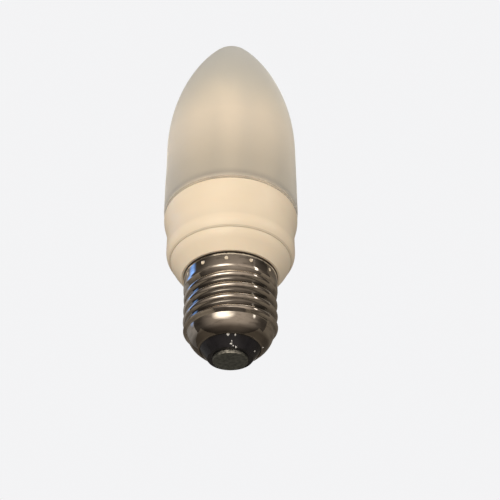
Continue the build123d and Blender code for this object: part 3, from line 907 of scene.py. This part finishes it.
# %% Ballast finishes
BALLAST_FINISHES = (
    # name and pieces, then dark colour, light colour, metallic, roughness and grain size
    ("board_laminate", ("ballast_board",),
     (0.30, 0.20, 0.09), (0.42, 0.30, 0.15), 0.0, 0.55, 500.0),
    ("capacitor_sleeve", ("smoothing_capacitor",),
     (0.010, 0.012, 0.022), (0.022, 0.026, 0.045), 0.0, 0.3, 300.0),
    ("ferrite", ("choke_core",),
     (0.030, 0.030, 0.032), (0.055, 0.055, 0.058), 0.0, 0.6, 900.0),
    ("winding_copper", ("choke_winding",),
     (0.42, 0.13, 0.045), (0.56, 0.20, 0.08), 1.0, 0.35, 2500.0),
    ("capacitor_dip", ("film_capacitor",),
     (0.28, 0.045, 0.02), (0.36, 0.07, 0.03), 0.0, 0.3, 400.0),
    ("black_resin", ("switching_transistors", "rectifier_diodes"),
     (0.014, 0.014, 0.015), (0.03, 0.03, 0.03), 0.0, 0.55, 1500.0),
    ("tinned_wire", ("filament_leads", "live_lead", "neutral_lead"),
     (0.52, 0.50, 0.47), (0.66, 0.64, 0.60), 1.0, 0.32, 800.0),
)


def drifting_finish(name, dark, light, metallic, roughness, grain_size):
    """A finish whose colour drifts between two tones."""
    finish, tree, shader = new_finish(name)
    drift = node_noise(tree, scale=grain_size, detail=3.0)
    colour = node_ramp(tree, drift, ((0.3, dark), (0.7, light)))
    tree.links.new(colour, shader.inputs["Base Color"])
    shader.inputs["Metallic"].default_value = metallic
    shader.inputs["Roughness"].default_value = roughness
    relief = node_bump(tree, drift, strength=0.1, distance=0.00005)
    tree.links.new(relief, shader.inputs["Normal"])
    return finish


for ballast_name, ballast_pieces, *ballast_look in BALLAST_FINISHES:
    dress(drifting_finish(ballast_name, *ballast_look), *ballast_pieces)

# %% [markdown]
# ## Solder splashes
# When the live wire was soldered to the contact, small drops of solder ran up the black glass, and
# some stuck to the edge of the contact. They could be painted as pale spots, but real drops stand
# proud and catch the light, so they are a small mesh of their own. Solder is a bright grey metal
# with a skin of oxide, so its finish is only partly metallic.

# %% Solder
SOLDER_TONES = ((0.30, (0.66, 0.64, 0.60)), (0.70, (0.88, 0.86, 0.82)))
solder, solder_tree, solder_shader = new_finish("solder_drops")
solder_shader.inputs["Metallic"].default_value = 0.35
solder_shader.inputs["Roughness"].default_value = 0.25
solder_drift = node_noise(solder_tree, scale=1500.0, detail=3.0)
solder_colour = node_ramp(solder_tree, solder_drift, SOLDER_TONES)
solder_tree.links.new(solder_colour, solder_shader.inputs["Base Color"])
print("solder finish:", solder.name)

# %% [markdown]
# We know where the drops are in the picture. Their places in space could be found by trial, but
# a ray from the camera through each place meets the solids at the right point, and gives the normal
# there too, so each drop sits on what carries it.

# %% Where the drops sit
SPLASH_SPOTS = (
    # across and down in the picture, drop size in millimetres
    (228.0, 334.5, 0.85),
    (235.4, 334.9, 0.55),
    (231.8, 340.9, 0.42),
    (231.2, 343.7, 0.70),
    (233.2, 345.7, 0.36),
    (236.0, 347.1, 0.56),
    (254.8, 351.3, 0.45),
    (263.0, 347.5, 0.45),
)


def surface_of(*names):
    """A tree of the faces of these CAD pieces, for finding where a ray meets them."""
    points, faces = [], []
    for name in names:
        mesh = nodes[name].data
        start = len(points)
        points += [vertex.co.copy() for vertex in mesh.vertices]
        faces += [[start + index for index in face.vertices] for face in mesh.polygons]
    return BVHTree.FromPolygons(points, faces)


def sight_line(across, down):
    """Ray from the camera through a place in the picture."""
    half = FRAME_PIXELS / 2
    towards = Vector(((across - half) / LENS_PIXELS, (half - down) / LENS_PIXELS, -1.0))
    turn = camera.matrix_world.to_3x3()
    return camera.matrix_world.translation, (turn @ towards).normalized()


cap_end = surface_of("cap_insulator", "screw_shell", "centre_contact")
drop_seats = [cap_end.ray_cast(*sight_line(across, down)) for across, down, size in SPLASH_SPOTS]
print("drops at heights", [round(place.z, 4) for place, normal, face, distance in drop_seats], "m")

# %% [markdown]
# A drop of solder is round from above, flat from the side and never quite even. Each one starts
# as a ball, is flattened towards the surface, swells more one way than the other, and gets three
# shallow lobes. Seeded dice make the drops differ and still come out the same on each run.

# %% Grow the drops
DROP_FLATNESS = 0.55
DROP_LOBES = 3.0
LOBE_DEPTH = 0.18
LOBE_TURN = 6.0
SWELL_LEAST = 0.75
SWELL_MOST = 1.25
RADIUS_PER_MM = 0.0005
SPLASH_SEED = 7


def grow_drop(mesh, place, normal, size, dice):
    """Add one flattened, uneven drop to the mesh."""
    drop = bmesh.ops.create_icosphere(mesh, subdivisions=3, radius=1.0)["verts"]
    turn = normal.to_track_quat("Z", "Y").to_matrix()
    swell = [dice.uniform(SWELL_LEAST, SWELL_MOST) for _ in range(3)]
    for vertex in drop:
        x, y, z = vertex.co
        wave = math.sin(DROP_LOBES * math.atan2(y, x) + swell[2] * LOBE_TURN)
        lobe = 1.0 + LOBE_DEPTH * wave * (1.0 - abs(z))
        shape = Vector((x * swell[0] * lobe, y * swell[1] * lobe, DROP_FLATNESS * z))
        vertex.co = place + turn @ shape * (size * RADIUS_PER_MM)


splash_mesh = bmesh.new()
splash_dice = random.Random(SPLASH_SEED)
for (across, down, size), (place, normal, face, distance) in zip(SPLASH_SPOTS, drop_seats):
    grow_drop(splash_mesh, place, normal, size, splash_dice)
for face in splash_mesh.faces:
    face.smooth = True
splash_data = bpy.data.meshes.new("solder_splashes")
splash_mesh.to_mesh(splash_data)
splash_mesh.free()
splash_data.materials.append(solder)
splashes = bpy.data.objects.new("solder_splashes", splash_data)
scene.collection.objects.link(splashes)
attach(splashes, "root")
print("solder splashes:", len(SPLASH_SPOTS), "drops,", len(splash_data.polygons), "faces")
